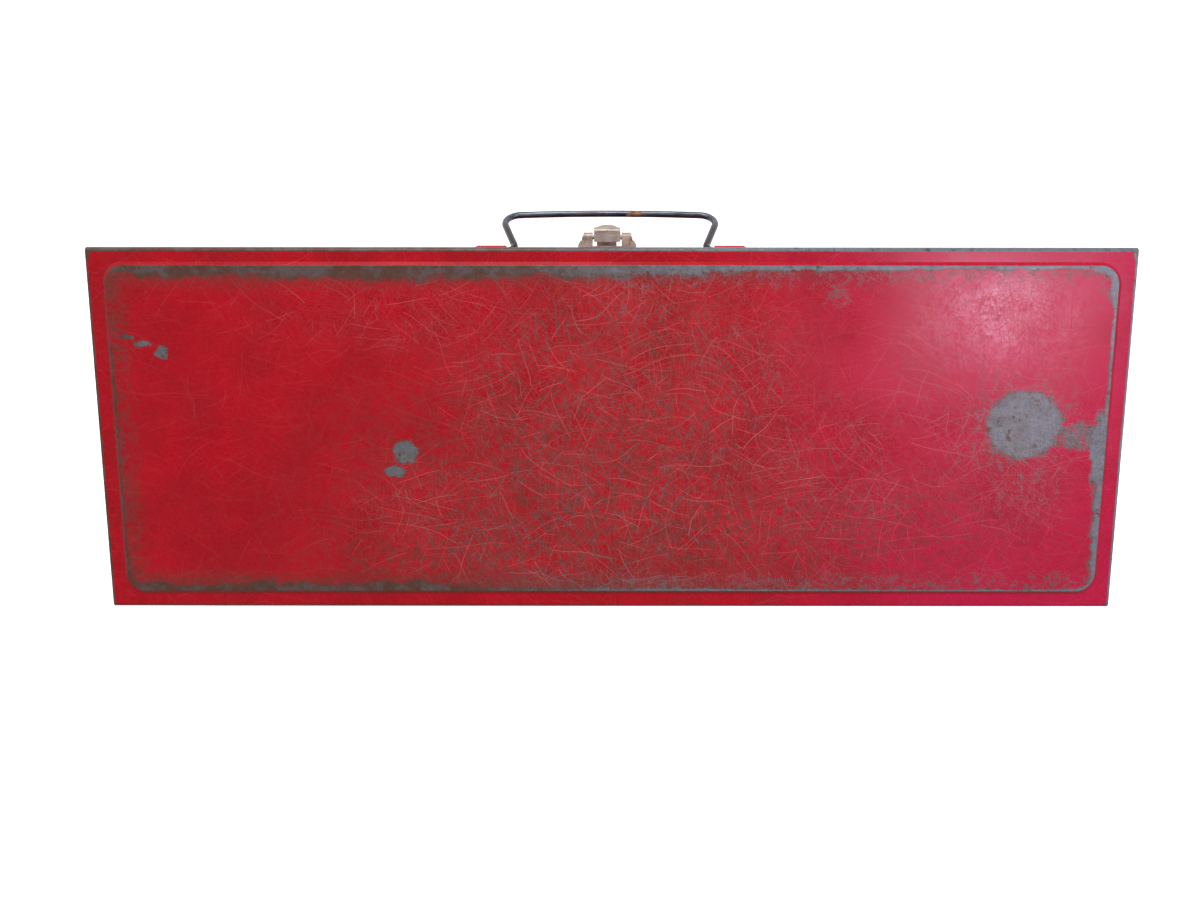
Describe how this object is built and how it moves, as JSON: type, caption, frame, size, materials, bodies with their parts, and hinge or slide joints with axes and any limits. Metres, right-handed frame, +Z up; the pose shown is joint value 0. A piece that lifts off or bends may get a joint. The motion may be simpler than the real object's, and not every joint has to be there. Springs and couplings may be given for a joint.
{
  "type": "cantilever tool box",
  "caption": "Flat red sheet-steel tool box with raised panels, piano-hinged lid, front hasp, wire bail handle and a cantilever tray that rises with the lid.",
  "frame": {"origin": "centre of the resting face: the middle of the case's length and width, on the surface it stands on", "axes": "+X along the case, -Y towards the handle and hasp, +Y towards the hinge, +Z up towards the lid"},
  "size_m": [0.5354, 0.2225, 0.0973],
  "materials": {
    "red_enamel": "scratched red enamel worn to bare steel on the edges",
    "tray_enamel": "red enamel, lightly worn",
    "dark_wire": "blackened steel wire with rust spots",
    "worn_nickel": "dull nickel plate, tarnished and rusty",
    "hinge_steel": "dull steel",
    "arm_steel": "zinc plate, rubbed",
    "bare_steel": "plain steel rivets"
  },
  "bodies": {
    "body": {"body_shell": "red_enamel", "body_end_left": "red_enamel", "body_end_right": "red_enamel", "hinge_leaf_body": "hinge_steel", "hinge_pin": "bare_steel", "hinge_rivets_body": "bare_steel", "handle_doubler_left": "bare_steel", "handle_doubler_right": "bare_steel", "catch_plate": "worn_nickel", "catch_rivets": "bare_steel", "arm_pivot_rivets": "bare_steel", "arm_spacers": "bare_steel", "arm_stop_studs": "bare_steel"},
    "lid": {"lid_shell": "red_enamel", "lid_end_left": "red_enamel", "lid_end_right": "red_enamel", "hinge_leaf_lid": "hinge_steel", "hinge_rivets_lid": "bare_steel", "hasp_plate": "worn_nickel", "hasp_pin": "bare_steel", "hasp_rivets": "bare_steel", "link_studs_lid": "bare_steel"},
    "bail": {"bail_handle": "dark_wire"},
    "hasp": {"hasp_tongue": "worn_nickel"},
    "front_arm_left_body": {"front_arm_left": "arm_steel"},
    "front_arm_right_body": {"front_arm_right": "arm_steel"},
    "rear_arm_left_body": {"rear_arm_left": "arm_steel", "link_rivet_left": "bare_steel"},
    "rear_arm_right_body": {"rear_arm_right": "arm_steel", "link_rivet_right": "bare_steel"},
    "lid_link_left_body": {"lid_link_left": "arm_steel"},
    "lid_link_right_body": {"lid_link_right": "arm_steel"},
    "tray": {"tray_pan": "tray_enamel", "tray_end_left": "tray_enamel", "tray_end_right": "tray_enamel", "tray_dividers": "tray_enamel", "tray_pivot_rivets": "bare_steel"}
  },
  "joints": [
    {"name": "lid_hinge", "type": "hinge", "parent": "body", "child": "lid", "pos_m": [0, 0.0972, 0.067], "axis": [-1, 0, 0], "range_deg": [0, 105]},
    {"name": "bail_swing", "type": "hinge", "parent": "body", "child": "bail", "pos_m": [0, -0.09675, 0.046], "axis": [-1, 0, 0], "range_deg": [-35, 112]},
    {"name": "hasp_swing", "type": "hinge", "parent": "lid", "child": "hasp", "pos_m": [0.0022, -0.1002, 0.0866], "axis": [-1, 0, 0], "range_deg": [-5.2, 95]},
    {"name": "rear_arm_left_pivot", "type": "hinge", "parent": "body", "child": "rear_arm_left_body", "pos_m": [-0.26135, 0.045, 0.055], "axis": [-1, 0, 0], "range_deg": [0, 105]},
    {"name": "rear_arm_right_pivot", "type": "hinge", "parent": "body", "child": "rear_arm_right_body", "pos_m": [0.26135, 0.045, 0.055], "axis": [-1, 0, 0], "range_deg": [0, 105]},
    {"name": "front_arm_left_pivot", "type": "hinge", "parent": "body", "child": "front_arm_left_body", "pos_m": [-0.26135, -0.03, 0.055], "axis": [-1, 0, 0], "range_deg": [0, 105]},
    {"name": "front_arm_right_pivot", "type": "hinge", "parent": "body", "child": "front_arm_right_body", "pos_m": [0.26135, -0.03, 0.055], "axis": [-1, 0, 0], "range_deg": [0, 105]},
    {"name": "lid_link_left_pivot", "type": "hinge", "parent": "rear_arm_left_body", "child": "lid_link_left_body", "pos_m": [-0.26325, 0.005, 0.073], "axis": [-1, 0, 0], "range_deg": [-105, 0]},
    {"name": "lid_link_right_pivot", "type": "hinge", "parent": "rear_arm_right_body", "child": "lid_link_right_body", "pos_m": [0.26325, 0.005, 0.073], "axis": [-1, 0, 0], "range_deg": [-105, 0]},
    {"name": "tray_pivot", "type": "hinge", "parent": "rear_arm_left_body", "child": "tray", "pos_m": [-0.2594, -0.00198, 0.0379], "axis": [-1, 0, 0], "range_deg": [-105, 0]}
  ],
  "couplings": [
    {"joint": "rear_arm_left_pivot", "follows": "lid_hinge", "ratio": 1},
    {"joint": "rear_arm_right_pivot", "follows": "lid_hinge", "ratio": 1},
    {"joint": "front_arm_left_pivot", "follows": "lid_hinge", "ratio": 1},
    {"joint": "front_arm_right_pivot", "follows": "lid_hinge", "ratio": 1},
    {"joint": "lid_link_left_pivot", "follows": "lid_hinge", "ratio": -1},
    {"joint": "lid_link_right_pivot", "follows": "lid_hinge", "ratio": -1},
    {"joint": "tray_pivot", "follows": "lid_hinge", "ratio": -1}
  ]
}
